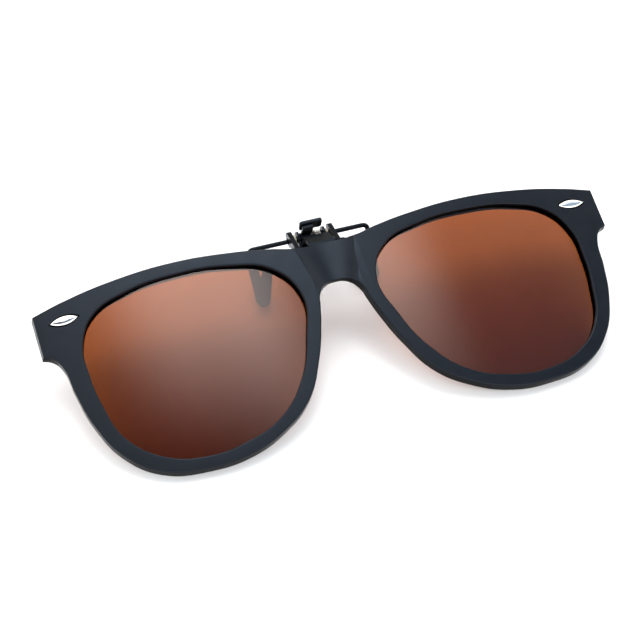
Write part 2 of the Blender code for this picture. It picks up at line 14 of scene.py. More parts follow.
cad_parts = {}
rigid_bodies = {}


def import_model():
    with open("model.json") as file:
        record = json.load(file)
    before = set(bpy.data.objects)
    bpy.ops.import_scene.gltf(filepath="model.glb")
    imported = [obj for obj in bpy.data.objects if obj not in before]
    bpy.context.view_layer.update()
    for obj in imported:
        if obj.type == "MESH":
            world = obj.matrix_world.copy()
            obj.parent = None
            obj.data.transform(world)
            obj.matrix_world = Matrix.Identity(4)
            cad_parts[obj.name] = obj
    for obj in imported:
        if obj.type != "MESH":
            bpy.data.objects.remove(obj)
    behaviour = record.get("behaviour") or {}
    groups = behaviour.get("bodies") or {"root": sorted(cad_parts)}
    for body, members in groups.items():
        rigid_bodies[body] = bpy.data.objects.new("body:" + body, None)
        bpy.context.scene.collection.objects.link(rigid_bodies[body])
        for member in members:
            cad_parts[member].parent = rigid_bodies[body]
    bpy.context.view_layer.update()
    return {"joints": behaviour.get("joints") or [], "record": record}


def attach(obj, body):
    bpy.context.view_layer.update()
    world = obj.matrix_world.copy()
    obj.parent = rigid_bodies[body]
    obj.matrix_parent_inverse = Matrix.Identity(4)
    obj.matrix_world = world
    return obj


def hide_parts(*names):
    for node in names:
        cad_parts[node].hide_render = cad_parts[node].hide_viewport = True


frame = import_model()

MM = 0.001
JOINTS = {joint["name"]: joint for joint in frame["joints"]}
MOUNTS = {mount["name"]: mount for mount in frame["record"]["mounts"]}

# The lying pose, from the record: the flip axis and the clip's tilt
AXIS = Vector(JOINTS["front_flip"]["pos_m"])
WEB_NORMAL = Vector(MOUNTS["web_back"]["axis"])
CLIP_TILT = atan2(WEB_NORMAL.z, WEB_NORMAL.y)
CLIP_OPEN = radians(31.7)
FRONT_TILT = CLIP_TILT - CLIP_OPEN

# Flip axis, from the middle of the bridge's front face at lens height
AXIS_BACK = 10.9
AXIS_UP = 29.1

# Plastic front
THICKNESS = 3.0
EDGE = 0.35
BOW = 0.00048
END_DRAFT = 0.5                   # how much wider the ends are at the back
END_START = 69.0
BROW_POINTS = ((0.0, 21.7), (7.5, 21.5), (13.5, 22.8), (22.0, 24.2), (37.0, 25.4),
               (52.0, 24.5), (65.0, 22.2))
END_CORNERS = ((72.3, 20.2), (72.0, 9.6))
NOTCH_POINTS = ((70.2, 8.7), (68.4, 6.0))
RIM_POINTS = ((67.0, -1.5), (64.9, -9.8), (60.0, -19.2), (52.5, -25.2), (42.0, -27.3),
              (32.0, -26.6), (23.0, -23.0), (15.8, -17.4), (10.8, -8.8), (7.2, 0.8),
              (6.0, 5.2), (5.2, 8.0), (3.0, 10.6))
ARCH_TOP = 11.3
OPENING_POINTS = ((62.9, 2.5), (62.6, 10.0), (58.6, 17.0), (50.0, 20.7), (37.2, 22.1),
                  (24.5, 21.0), (14.5, 17.4), (9.6, 9.0), (11.6, -1.6), (16.2, -12.1),
                  (23.3, -19.8), (32.5, -23.5), (42.0, -24.4), (51.2, -21.9),
                  (58.6, -15.2), (61.8, -5.6))
OUTLINE_STEPS = 14
STRIP = 2.0                       # width of the strips that the bow bends
FLAT = radians(0.2)               # faces that turn by less are merged before that
STRIP_SNAP = 0.0001
LENS_THICKNESS = 0.7
LENS_FRONT = 1.85                 # at the lens's left and right edges
LENS_EDGE = 0.1
LENS_MIDDLE = 36.3
LENS_HALF = 27.5
LENS_DOME = 0.85
SHELF_FRONT = 0.95
LENS_OVERLAP = 0.7
REBATE_OVERLAP = 1.0
RETAINER_FRONT = 2.6
RETAINER = 0.35

# Scooped bridge
SCOOP_TOP_Z = 21.0
SCOOP_TOP_HALF = 7.8
SCOOP_LOW_Z = 8.5
SCOOP_LOW_HALF = 4.8
SCOOP_DEPTH = 1.2
SCOOP_REACH = 4.0                 # how far the cutting cone goes past both heights
SCOOP_SIDES = 240

# Corner ornaments
RIVET_X = 65.4
RIVET_Z = 17.3
RIVET_LENGTH = 6.8
RIVET_HEIGHT = 2.25
RIVET_TILT = radians(-5.0)
RIVET_STEM = 1.4
RIVET_PROUD = 0.35
RIVET_ROWS = 7
ALMOND_STEPS = 16

# Hinge bracket
GAP = 0.3
SHEET = 0.8
EAR_X = 5.4
EAR_SHEET = 1.2
EAR_FRONT = (3.4, 19.0)
EAR_BACK = (4.0, 17.0)
EAR_WAIST = (7.9, 25.2)
EAR_CROWN = (-0.2, 0.8)
EAR_RADIUS = 1.55
BASE_HALF = 6.8
BASE_LOW = 12.6
BASE_STEP = 1.0                   # the raised parts start this far above the base's foot
BASE_FRONT = 3.3
BASE_TOP = 20.8
SHOULDER_TOP = 22.2
FLOOR_HEIGHT = 22.0
FLOOR_SHEET = 0.6
FLOOR_FRONT = 1.8
RAMP_HALF = 3.3
RAMP_LENGTH = 4.75
RAMP_SLOPE = radians(55.0)
SCREW_X = 4.4
SCREW_Z = 16.0
SCREW_RADIUS = 0.6
SCREW_HEAD_RADIUS = 1.25
SCREW_HEAD = 0.6
SCREW_BITE = 0.9
SCREW_SLOT = 0.3
SCREW_SLOT_REACH = 2.0
SCREW_POINT = 0.6                 # radius of the tip and of the thread's root, as shares
SCREW_ROOT = 0.82
SCREW_CHAMFER = 0.25
SCREW_THREADS = 5
SCREW_HEAD_SHAPE = ((1.0, 0.0), (1.0, 0.4), (0.86, 0.75), (0.45, 1.0))
SCREW_SIDES = 40

# Clip, with its prongs hanging down
WIRE = 0.6
THIN_WIRE = 0.5
BAR_HALF = 15.9
REAR_TIP_X = 14.9
REAR_SHIFT = -0.7
FRONT_SHIFT = -1.8
BEND = 1.4
TIP_DROP = 14.4
FRONT_BAR_HALF = 10.9
FRONT_BAR = (0.7, -2.4)
FRONT_KNEE = (10.9, -2.3, -4.4)
FRONT_TIP = (14.5, -2.4, -TIP_DROP)
FRONT_PAD = (1.4, 1.8)            # half widths at the top and near the tip
REAR_PAD = (1.15, 1.55)
PAD_HALF_DEPTH = 0.95
PAD_TOP = 1.5
PAD_LIP = 0.12
PAD_GROOVE = 4                    # the groove under the lip takes one part in this many
PAD_FLARE = 1.2
PAD_ROWS = 18
PAD_END_ROWS = 10
PAD_SIDES = 36
CHEEK_X = 3.4
CHEEK_SHEET = 0.6
CHEEK_RADIUS = 2.0
CHEEK_ARC_START = 1.15            # in half turns
CHEEK_ARC_SWEEP = 0.9
WEB_BACK = 2.6
BUSH_RADIUS = 1.35
SPRING_WIRE = 0.22
SPRING_RADIUS = 1.35
SPRING_TURNS = 4
SPRING_START = 0.85
SPRING_PITCH = 0.5
SPRING_TAIL = 1.0
SPRING_STEPS = 36
HUB_LOW_X = -2.7
HUB_HIGH_X = -0.2
HUB_RADIUS = 1.5
NECK_HALF = 1.4
NECK_X = -1.1
NECK_FOOT = (0.0, 1.0)
NECK_TOP = (-2.25, 1.94)
TONGUE = 2.0
LEVER_SHEET = 0.6
TAB_SLOPE = radians(147.3)
TAB_HALF = 2.95
TAB_LENGTH = 3.4
TAB_SHEET = 0.9
TAB_CORNER = 0.7
TAB_CORNER_STEPS = 6
TAB_EDGE = 0.25

# Finish of edges, wires and round parts
SOFT_EDGE = 0.1
SHARP = radians(32.0)
WELD = 0.002
EDGE_ROUNDNESS = 3
WIRE_ROUNDNESS = 5
SPRING_ROUNDNESS = 3
WIRE_END = 0.7                    # radius of a wire's very end, as a share
WIRE_DOME = 0.3                   # length over which it gets there, in radii
ROUND_SIDES = 48
ARC_STEPS = 20
BEND_STEPS = 10
SIDES = ((1, "right"), (-1, "left"))

# Looks. A sheen lists specular levels, from where a surface faces the eye to its outline
PLASTIC_SHEEN = ((0.22, 0.33), (0.42, 0.04), (0.72, 0.04), (0.95, 0.3))
LACQUER_SHEEN = ((0.2, 0.2), (0.38, 0.04), (0.68, 0.02), (0.85, 0.9))
PAINTED_SHADE_TINT_LOW = (0.44, 0.24, 0.125)    # painted shade: the brown tint is darkened at the lens's lower rim and grows lighter upwards
PAINTED_LIGHT_TINT_HIGH = (0.535, 0.275, 0.14)
PAINTED_SHADE_LOW_Y = -0.022
PAINTED_SHADE_HIGH_Y = 0.02
LENS_GLOSS = (1.0, 0.88, 0.83, 1.0)
LENS_IOR = 1.52

# Scene
CAMERA_AZIMUTH = radians(-18.45)
CAMERA_ELEVATION = radians(46.07)
CAMERA_DISTANCE = 0.326
CAMERA_LENS = 76.2
CAMERA_SENSOR = 36.0
CAMERA_NEAR = 0.01
CAMERA_AIM = Vector((-0.0066, -0.0003, 0.01))
FLOOR_HALF = 2.5
BLACK = (0.0, 0.0, 0.0)
WHITE = (1.0, 1.0, 1.0)
ROOM_LEVEL = 1.93
CEILING_LEFT = (0.035, 0.045, 0.06)   # fractions of the room light
CEILING_RIGHT = (0.17, 0.23, 0.31)
CEILING_X = (-0.05, 0.45)
CEILING_Z = ((0.2, BLACK), (0.4, WHITE))
DARK_X = (-0.5, 1.0, 0.2)         # slopes of the dim ceiling's sides, and their softness
DARK_Y = (-0.5, 0.3, 0.2)
LAMP_LEVEL = 5.0
LAMP_X = (-0.07, 0.28, 0.11)      # slopes of its two sides, and their softness
LAMP_Y = (0.072, 0.9, 0.07)
LAMP_SLANT = 0.1                  # its near side comes closer towards the right


def placed(tilt):
    """Millimetres around the flip axis to metres in the row frame."""
    return Matrix.Translation(AXIS) @ Matrix.Rotation(tilt, 4, "X") @ Matrix.Scale(MM, 4)


FRONT_PLACE = placed(FRONT_TILT)
CLIP_PLACE = placed(CLIP_TILT)


# ---------------------------------------------------------------- mesh helpers

def to_mesh(work, name):
    bmesh.ops.recalc_face_normals(work, faces=work.faces)
    mesh = bpy.data.meshes.new(name)
    work.to_mesh(mesh)
    work.free()
    return mesh


def from_mesh(mesh):
    work = bmesh.new()
    work.from_mesh(mesh)
    return work


def moved(mesh, offset):
    mesh.transform(Matrix.Translation(Vector(offset)))
    return mesh


def mirrored_mesh(mesh):
    mesh.transform(Matrix.Scale(-1, 4, Vector((1, 0, 0))))
    mesh.flip_normals()
    return mesh


def mesh_from_curve(curve, name):
    """Turn a curve datablock into a welded mesh."""
    holder = bpy.data.objects.new(name, curve)
    bpy.context.scene.collection.objects.link(holder)
    bpy.context.view_layer.update()
    depsgraph = bpy.context.evaluated_depsgraph_get()
    raw = bpy.data.meshes.new_from_object(holder.evaluated_get(depsgraph))
    bpy.data.objects.remove(holder, do_unlink=True)
    work = from_mesh(raw)
    bmesh.ops.remove_doubles(work, verts=work.verts, dist=WELD)
    return to_mesh(work, name)


def outline_plate(name, outlines, thickness, edge=0.0, corners=(), steps=OUTLINE_STEPS):
    """A flat plate of smooth outlines in the XZ plane, from Y 0 backwards."""
    curve = bpy.data.curves.new(name, "CURVE")
    curve.dimensions = "2D"
    curve.fill_mode = "BOTH"
    curve.resolution_u = steps
    curve.extrude = thickness / 2 - edge
    curve.bevel_depth = edge
    curve.bevel_resolution = EDGE_ROUNDNESS
    curve.offset = -edge
    for points in outlines:
        spline = curve.splines.new("BEZIER")
        spline.bezier_points.add(len(points) - 1)
        spline.use_cyclic_u = True
        for knot, point in zip(spline.bezier_points, points):
            knot.co = (point[0], point[1], 0.0)
            kind = "VECTOR" if point in corners else "AUTO"
            knot.handle_left_type = kind
            knot.handle_right_type = kind
    mesh = mesh_from_curve(curve, name)
    mesh.transform(Matrix.Rotation(radians(90), 4, "X"))
    return moved(mesh, (0, thickness / 2, 0))


def polygon_plate(name, points, thickness, edge=0.0):
    """A flat plate with straight edges, in the XZ plane, from Y 0 backwards."""
    return outline_plate(name, [points], thickness, edge, tuple(points), 1)


def grown(points, amount):
    """Move a closed outline outwards by an amount, point by point."""
    result = []
    for index, point in enumerate(points):
        before = Vector(points[index - 1])
        after = Vector(points[(index + 1) % len(points)])
        along = (after - before).normalized()
        result.append((point[0] + along.y * amount, point[1] - along.x * amount))
    return result


def mirrored(points):
    return [(-x, y) for x, y in reversed(points)]


def loft(name, rings, looped=False):
    """A skin through rings of equal point count, capped or run back into the first."""
    work = bmesh.new()
    rows = [[work.verts.new(point) for point in ring] for ring in rings]
    count = len(rows[0])
    following = rows[1:] + rows[:1] if looped else rows[1:]
    for upper, lower in zip(rows, following):
        for index in range(count):
            after = (index + 1) % count
            work.faces.new((upper[index], upper[after], lower[after], lower[index]))
    if not looped:
        work.faces.new(rows[0])
        work.faces.new(rows[-1])
    return to_mesh(work, name)


def ellipse(half_width, half_depth, sides):
    """Points around the origin, as pairs."""
    angles = [2 * pi * index / sides for index in range(sides)]
    return [(half_width * cos(angle), half_depth * sin(angle)) for angle in angles]


def rings_along_x(profile, sides):
    """Circles from a profile that lists radius and place along X."""
    return [[Vector((place, y, z)) for y, z in ellipse(radius, radius, sides)]
            for radius, place in profile]


def turned(name, profile, axis="X", sides=ROUND_SIDES):
    """A solid of revolution; the profile lists radius and place along the axis."""
    mesh = loft(name, rings_along_x(profile, sides))
    if axis == "Y":
        mesh.transform(Matrix.Rotation(pi / 2, 4, "Z"))
    return mesh


def ring_mesh(name, outer, inner, low, high, edge):
    """A ring along X with softened rims."""
    profile = [(inner, low), (outer - edge, low), (outer, low + edge),
               (outer, high - edge), (outer - edge, high), (inner, high)]
    return loft(name, rings_along_x(profile, ROUND_SIDES), looped=True)


def tube_mesh(name, points, radius, roundness=WIRE_ROUNDNESS):
    """A round wire along a polyline, with domed ends."""
    curve = bpy.data.curves.new(name, "CURVE")
    curve.dimensions = "3D"
    curve.bevel_depth = radius
    curve.bevel_resolution = roundness
    curve.use_fill_caps = True
    first, second = Vector(points[0]), Vector(points[1])
    last, before = Vector(points[-1]), Vector(points[-2])
    inward = (second - first).normalized() * radius * WIRE_DOME
    outward = (before - last).normalized() * radius * WIRE_DOME
    path = [first, first + inward, *points[1:-1], last + outward, last]
    spline = curve.splines.new("POLY")
    spline.points.add(len(path) - 1)
    for knot, point in zip(spline.points, path):
        knot.co = (*point, 1.0)
    spline.points[0].radius = WIRE_END
    spline.points[-1].radius = WIRE_END
    return mesh_from_curve(curve, name)


def rounded_path(points, radius):
    """A polyline whose inner corners are replaced by arcs."""
    path = [Vector(points[0])]
    for before, corner, after in zip(points, points[1:], points[2:]):
        corner = Vector(corner)
        start = (Vector(before) - corner).normalized()
        end = (Vector(after) - corner).normalized()
        for step in range(BEND_STEPS + 1):
            blend = step / BEND_STEPS
            leaving = start * radius * (1 - blend) ** 2
            arriving = end * radius * blend ** 2
            path.append(corner + leaving + arriving)
    path.append(Vector(points[-1]))
    return path


def cylinder_mesh(name, radius, length, axis):
    """A cutter for a round hole, centred on the origin."""
    return turned(name, [(radius, -length / 2), (radius, length / 2)], axis)


def box_mesh(name, low, high):
    work = bmesh.new()
    bmesh.ops.create_cube(work, size=1.0)
    for vertex in work.verts:
        for axis in range(3):
            vertex.co[axis] = low[axis] if vertex.co[axis] < 0 else high[axis]
    return to_mesh(work, name)


def bent_sheet(name, points, thickness, low_x, high_x):
    """A sheet bent along a polyline of depth and height, between two X places."""
    points = [Vector(point) for point in points]
    outer, inner = [], []
    for index, point in enumerate(points):
        before = points[max(index - 1, 0)]
        after = points[min(index + 1, len(points) - 1)]
        along = (after - before).normalized()
        side = Vector((-along.y, along.x)) * thickness / 2
        outer.append(point + side)
        inner.append(point - side)
    section = outer + inner[::-1]
    rings = [[Vector((x, point.x, point.y)) for point in section] for x in (low_x, high_x)]
    return loft(name, rings)


def side_plate(name, points, x, thickness):
    """A flat plate in the YZ plane, centred on x; points are depth and height."""
    mesh = polygon_plate(name, points, thickness)
    mesh.transform(Matrix.Rotation(pi / 2, 4, "Z"))
    return moved(mesh, (x + thickness / 2, 0, 0))


def combine(mesh, others, operation):
    """Cut or join meshes exactly, and return the result."""
    target = bpy.data.objects.new(mesh.name, mesh)
    scene_objects = bpy.context.scene.collection.objects
    scene_objects.link(target)
    helpers = []
    for other in others:
        helper = bpy.data.objects.new("helper", other)
        scene_objects.link(helper)
        helpers.append(helper)
        modifier = target.modifiers.new("combine", "BOOLEAN")
        modifier.operation = operation
        modifier.solver = "EXACT"
        modifier.object = helper
    bpy.context.view_layer.update()
    depsgraph = bpy.context.evaluated_depsgraph_get()
    result = bpy.data.meshes.new_from_object(target.evaluated_get(depsgraph))
    result.name = mesh.name
    for helper in (target, *helpers):
        bpy.data.objects.remove(helper, do_unlink=True)
    return result


def cut(mesh, *cutters):
    return combine(mesh, cutters, "DIFFERENCE")


def join(mesh, *others):
    return combine(mesh, others, "UNION")


def shade(mesh):
    """Smooth faces with sharp edges where the shape really turns."""
    mesh.shade_smooth()
    mesh.set_sharp_from_angle(angle=SHARP)


def piece(name, mesh, place, body, node, material, soft_edge=0.0):
    """Place a finished mesh, let it ride on its body and stand for its CAD node."""
    mesh.name = name
    mesh.transform(place)
    shade(mesh)
    mesh.materials.clear()
    mesh.materials.append(material)
    obj = bpy.data.objects.new(name, mesh)
    bpy.context.scene.collection.objects.link(obj)
    if soft_edge:
        bevel = obj.modifiers.new("soft_edges", "BEVEL")
        bevel.width = soft_edge * MM
        bevel.segments = 2
        bevel.limit_method = "ANGLE"
        bevel.angle_limit = SHARP
        bevel.use_clamp_overlap = True
    normals = obj.modifiers.new("normals", "WEIGHTED_NORMAL")
    normals.keep_sharp = True
    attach(obj, body)
    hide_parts(node)
    return obj


# ---------------------------------------------------------------- materials

class Shading:
    """A new material and short ways to add its nodes."""

    def __init__(self, name):
        self.material = bpy.data.materials.new(name)
        self.material.use_nodes = True
        self.nodes = self.material.node_tree.nodes
        self.links = self.material.node_tree.links
        self.shader = self.nodes["Principled BSDF"]
        self.coords = self.nodes.new("ShaderNodeTexCoord").outputs["Object"]

    def noise(self, scale, detail=2.0, stretch=None):
        source = self.coords
        if stretch:
            mapping = self.nodes.new("ShaderNodeMapping")
            mapping.inputs["Scale"].default_value = stretch
            self.links.new(source, mapping.inputs["Vector"])
            source = mapping.outputs["Vector"]
        texture = self.nodes.new("ShaderNodeTexNoise")
        texture.inputs["Scale"].default_value = scale
        texture.inputs["Detail"].default_value = detail
        self.links.new(source, texture.inputs["Vector"])
        return texture.outputs["Fac"]

    def ramp(self, source, low, high, start=0.35, end=0.65):
        """Map a grey value between two grey values or colours."""
        node = self.nodes.new("ShaderNodeValToRGB")
        for stop, place, value in zip(node.color_ramp.elements, (start, end), (low, high)):
            stop.position = place
            colour = (value,) * 3 if isinstance(value, float) else value
            stop.color = (*colour, 1.0)
        self.links.new(source, node.inputs["Fac"])
        return node.outputs["Color"]

    def by_angle(self, *stops):
        """A value that changes from where the surface faces the eye to its outline."""
        facing = self.nodes.new("ShaderNodeLayerWeight").outputs["Facing"]
        node = self.nodes.new("ShaderNodeValToRGB")
        for place, _ in stops[1:-1]:
            node.color_ramp.elements.new(place)
        for stop, (place, value) in zip(node.color_ramp.elements, stops):
            stop.position = place
            stop.color = (value, value, value, 1.0)
        self.links.new(facing, node.inputs["Fac"])
        return node.outputs["Color"]

    def bump(self, source, strength, distance):
        node = self.nodes.new("ShaderNodeBump")
        node.inputs["Strength"].default_value = strength
        node.inputs["Distance"].default_value = distance
        self.links.new(source, node.inputs["Height"])
        return node.outputs["Normal"]

    def feed(self, name, source):
        self.links.new(source, self.shader.inputs[name])

    def set(self, **values):
        for name, value in values.items():
            self.shader.inputs[name.replace("_", " ")].default_value = value


def moulded_plastic():
    """Matte black moulded plastic with a fine spark-eroded grain."""
    look = Shading("matte_black_plastic")
    tone = look.noise(90.0, 3.0)
    look.feed("Base Color", look.ramp(tone, (0.0022, 0.0025, 0.0031), (0.0030, 0.0034, 0.0042)))
    look.feed("Roughness", look.ramp(look.noise(240.0, 4.0), 0.28, 0.33))
    grain = look.noise(7500.0, 2.0)
    look.feed("Normal", look.bump(grain, 0.06, 0.00002))
    look.feed("Specular IOR Level", look.by_angle(*PLASTIC_SHEEN))
    look.set(IOR=1.47, Specular_Tint=(0.66, 0.79, 1.0, 1.0))
    return look.material


def tinted_lens():
    """A brown tint that light passes straight through, with painted shade that darkens it
    towards the lower rim, and a gloss on its outer faces.
    """
    look = Shading("brown_lens")
    nodes, links = look.nodes, look.links
    nodes.remove(look.shader)
    clear = nodes.new("ShaderNodeBsdfTransparent")
    split = nodes.new("ShaderNodeSeparateXYZ")
    links.new(look.coords, split.inputs["Vector"])
    # Painted shade: the brown tint goes from dark at the lower rim to light at the top
    height = nodes.new("ShaderNodeMapRange")
    height.inputs["From Min"].default_value = PAINTED_SHADE_LOW_Y
    height.inputs["From Max"].default_value = PAINTED_SHADE_HIGH_Y
    links.new(split.outputs["Y"], height.inputs["Value"])
    tint_and_painted_shade = look.ramp(height.outputs["Result"], PAINTED_SHADE_TINT_LOW, PAINTED_LIGHT_TINT_HIGH, 0.0, 1.0)
    links.new(tint_and_painted_shade, clear.inputs["Color"])
    gloss = nodes.new("ShaderNodeBsdfGlossy")
    gloss.inputs["Color"].default_value = LENS_GLOSS
    links.new(look.ramp(look.noise(30.0, 2.0), 0.08, 0.1), gloss.inputs["Roughness"])
    fresnel = nodes.new("ShaderNodeFresnel")
    fresnel.inputs["IOR"].default_value = LENS_IOR
    outside = nodes.new("ShaderNodeMath")
    outside.operation = "SUBTRACT"
    outside.use_clamp = True
    links.new(fresnel.outputs["Fac"], outside.inputs[0])
    links.new(nodes.new("ShaderNodeNewGeometry").outputs["Backfacing"], outside.inputs[1])
    mix = nodes.new("ShaderNodeMixShader")
    links.new(outside.outputs[0], mix.inputs["Fac"])
    links.new(clear.outputs["BSDF"], mix.inputs[1])
    links.new(gloss.outputs["BSDF"], mix.inputs[2])
    links.new(mix.outputs["Shader"], nodes["Material Output"].inputs["Surface"])
    return look.material


def polished_steel():
    """Bright polished steel with faint lengthwise polishing lines."""
    look = Shading("polished_steel")
    lines = look.noise(900.0, 3.0, (0.15, 1.0, 1.0))
    look.feed("Base Color", look.ramp(lines, (0.86, 0.85, 0.82), (0.93, 0.92, 0.89)))
    look.feed("Roughness", look.ramp(lines, 0.10, 0.18))
    look.feed("Normal", look.bump(lines, 0.08, 0.00001))
    look.set(Metallic=1.0)
    return look.material


def lacquered_steel():
    """Black lacquer over steel, thinner and greyer where parts rub."""
    look = Shading("black_lacquered_steel")
    wear = look.noise(700.0, 5.0)
    tone = look.ramp(wear, (0.0015, 0.0018, 0.0024), (0.004, 0.0045, 0.0055), 0.45, 0.85)
    look.feed("Base Color", tone)
    look.feed("Roughness", look.ramp(wear, 0.24, 0.36))
    look.feed("Normal", look.bump(look.noise(3500.0, 2.0), 0.06, 0.00002))
    look.feed("Specular IOR Level", look.by_angle(*LACQUER_SHEEN))
    look.set(Specular_Tint=(0.6, 0.78, 1.0, 1.0))
    return look.material


def plated_steel():
    """Bare spring and screw steel with drawing lines."""
    look = Shading("plated_steel")
    lines = look.noise(1500.0, 3.0, (0.2, 1.0, 1.0))
    look.feed("Base Color", look.ramp(lines, (0.52, 0.50, 0.46), (0.72, 0.70, 0.66)))
    look.feed("Roughness", look.ramp(lines, 0.22, 0.36))
    look.feed("Normal", look.bump(lines, 0.1, 0.00001))
    look.set(Metallic=1.0)
    return look.material


def soft_rubber():
    """Dark grey soft sleeve with a dull, slightly uneven skin."""
    look = Shading("dark_rubber")
    skin = look.noise(600.0, 4.0)
    look.feed("Base Color", look.ramp(skin, (0.010, 0.007, 0.008), (0.016, 0.012, 0.013)))
    look.feed("Roughness", look.ramp(skin, 0.5, 0.62))
    look.feed("Normal", look.bump(look.noise(4000.0, 3.0), 0.12, 0.00003))
    look.set(Specular_IOR_Level=0.25)
    return look.material


def natural_nylon():
    """Beige nylon, slightly translucent."""
    look = Shading("natural_nylon")
    tone = look.noise(800.0, 3.0)
    look.feed("Base Color", look.ramp(tone, (0.50, 0.44, 0.33), (0.60, 0.54, 0.43)))
    look.feed("Roughness", look.ramp(tone, 0.38, 0.5))
    look.feed("Normal", look.bump(look.noise(5000.0), 0.05, 0.00002))
    return look.material


PLASTIC = moulded_plastic()
LENS_TINT_AND_PAINTED_SHADE = tinted_lens()
POLISHED = polished_steel()
LACQUER = lacquered_steel()
STEEL = plated_steel()
RUBBER = soft_rubber()
NYLON = natural_nylon()


# ---------------------------------------------------------------- the front

def front_point(x, depth, height):
    """A point of the front, given from the lens centre line and the front face."""
    return Vector((x, depth - AXIS_BACK, height - AXIS_UP))


def bowed(mesh):
    """Bend a flat front piece backwards towards its ends and hang it on the axis."""
    work = from_mesh(mesh)
    bmesh.ops.dissolve_limit(work, angle_limit=FLAT, verts=work.verts, edges=work.edges)
    reach = int(max(abs(vertex.co.x) for vertex in work.verts) / STRIP) + 1
    for index in range(-reach, reach + 1):
        geometry = work.verts[:] + work.edges[:] + work.faces[:]
        bmesh.ops.bisect_plane(work, geom=geometry, dist=STRIP_SNAP, plane_no=(1, 0, 0),
                               plane_co=(index * STRIP, 0, 0))
    for vertex in work.verts:
        vertex.co.y += BOW * vertex.co.x ** 2
    result = to_mesh(work, mesh.name)
    return moved(result, (0, -AXIS_BACK, -AXIS_UP))


def front_outline():
    half = list(BROW_POINTS[1:]) + list(END_CORNERS) + list(NOTCH_POINTS) + list(RIM_POINTS)
    return [BROW_POINTS[0]] + half + [(0.0, ARCH_TOP)] + mirrored(half)


def scoop_mesh():
    """A cone lying on the bridge whose edges follow the two creases."""
    low_radius = (SCOOP_LOW_HALF ** 2 + SCOOP_DEPTH ** 2) / (2 * SCOOP_DEPTH)
    top_radius = (SCOOP_TOP_HALF ** 2 + SCOOP_DEPTH ** 2) / (2 * SCOOP_DEPTH)
    slope = (top_radius - low_radius) / (SCOOP_TOP_Z - SCOOP_LOW_Z)
    rings = []
    for height in (SCOOP_LOW_Z - SCOOP_REACH, SCOOP_TOP_Z + SCOOP_REACH):
        radius = low_radius + (height - SCOOP_LOW_Z) * slope
        rings.append([Vector((x, SCOOP_DEPTH - radius + y, height))
                      for x, y in ellipse(radius, radius, SCOOP_SIDES)])
    return loft("scoop", rings)


def almond(length, height):
    """A pointed oval outline as two arcs."""
    half, rise = length / 2, height / 2
    radius = (half ** 2 + rise ** 2) / (2 * rise)
    points = []
    for side in (1, -1):
        for step in range(ALMOND_STEPS):
            x = half - length * step / ALMOND_STEPS
            y = (radius ** 2 - x ** 2) ** 0.5 - (radius - rise)
            points.append((side * x, side * y))
    return points


def turned_about(points, angle, centre):
    turn = Matrix.Rotation(angle, 2)
    return [tuple(turn @ Vector(point) + Vector(centre)) for point in points]


def slot_outline(side):
    """The ornament's outline with clearance around it, in its corner of the front."""
    shape = almond(RIVET_LENGTH + 3 * GAP, RIVET_HEIGHT + 2 * GAP)
    return turned_about(shape, RIVET_TILT * side, (RIVET_X * side, RIVET_Z))


def make_front():
    holes = [list(OPENING_POINTS), mirrored(OPENING_POINTS)]
    corners = list(END_CORNERS) + mirrored(END_CORNERS)
    mesh = outline_plate("front", [front_outline()] + holes, THICKNESS, EDGE, corners)
    cutters = [scoop_mesh()]
    for hole in holes:
        rebate = outline_plate("rebate", [grown(hole, REBATE_OVERLAP)], THICKNESS)
        cutters.append(moved(rebate, (0, SHELF_FRONT, 0)))
    for side in (1, -1):
        slot = polygon_plate("slot", slot_outline(side), 2 * RIVET_STEM)
        cutters.append(moved(slot, (0, GAP - RIVET_STEM, 0)))
        hole = cylinder_mesh("hole", SCREW_RADIUS + GAP, 2 * (SCREW_BITE + GAP), "Y")
        cutters.append(moved(hole, (SCREW_X * side, THICKNESS, SCREW_Z)))
    work = from_mesh(cut(mesh, *cutters))
    for hole in holes:
        lip = outline_plate("lip", [grown(hole, REBATE_OVERLAP), hole], RETAINER)
        work.from_mesh(moved(lip, (0, RETAINER_FRONT, 0)))
    for vertex in work.verts:
        reach = max(0.0, abs(vertex.co.x) - END_START) / (END_CORNERS[0][0] - END_START)
        draft = END_DRAFT * reach * vertex.co.y / THICKNESS
        vertex.co.x += draft if vertex.co.x > 0 else -draft
    mesh = bowed(to_mesh(work, "front"))
    piece("front_shell", mesh, FRONT_PLACE, "front", "front_frame", PLASTIC)


def make_lens(side, label):
    outline = grown(OPENING_POINTS, LENS_OVERLAP)
    if side < 0:
        outline = mirrored(outline)
    mesh = outline_plate("lens", [outline], LENS_THICKNESS, LENS_EDGE)
    mesh = bowed(moved(mesh, (0, LENS_FRONT, 0)))
    for vertex in mesh.vertices:
        reach = (abs(vertex.co.x) - LENS_MIDDLE) / LENS_HALF
        vertex.co.y -= LENS_DOME * (1 - reach ** 2)
    piece(f"tinted_lens_{label}", mesh, FRONT_PLACE, "front", f"lens_{label}",
          LENS_TINT_AND_PAINTED_SHADE)


def make_rivet(side, label):
    """A domed almond on a straight stem."""
    base = almond(RIVET_LENGTH, RIVET_HEIGHT)
    rings = [[Vector((x, RIVET_STEM, z)) for x, z in base]]
    for row in range(RIVET_ROWS):
        angle = pi / 2 * row / RIVET_ROWS
        share, rise = cos(angle), sin(angle)
        rings.append([Vector((x * share, -RIVET_PROUD * rise, z * share)) for x, z in base])
    mesh = loft("rivet", rings)
    mesh.transform(Matrix.Rotation(-RIVET_TILT * side, 4, "Y"))
    offset = (RIVET_X * side, BOW * RIVET_X ** 2, RIVET_Z)
    mesh = moved(moved(mesh, offset), (0, -AXIS_BACK, -AXIS_UP))
    piece(f"almond_{label}", mesh, FRONT_PLACE, "front", f"corner_rivet_{label}",
          POLISHED)


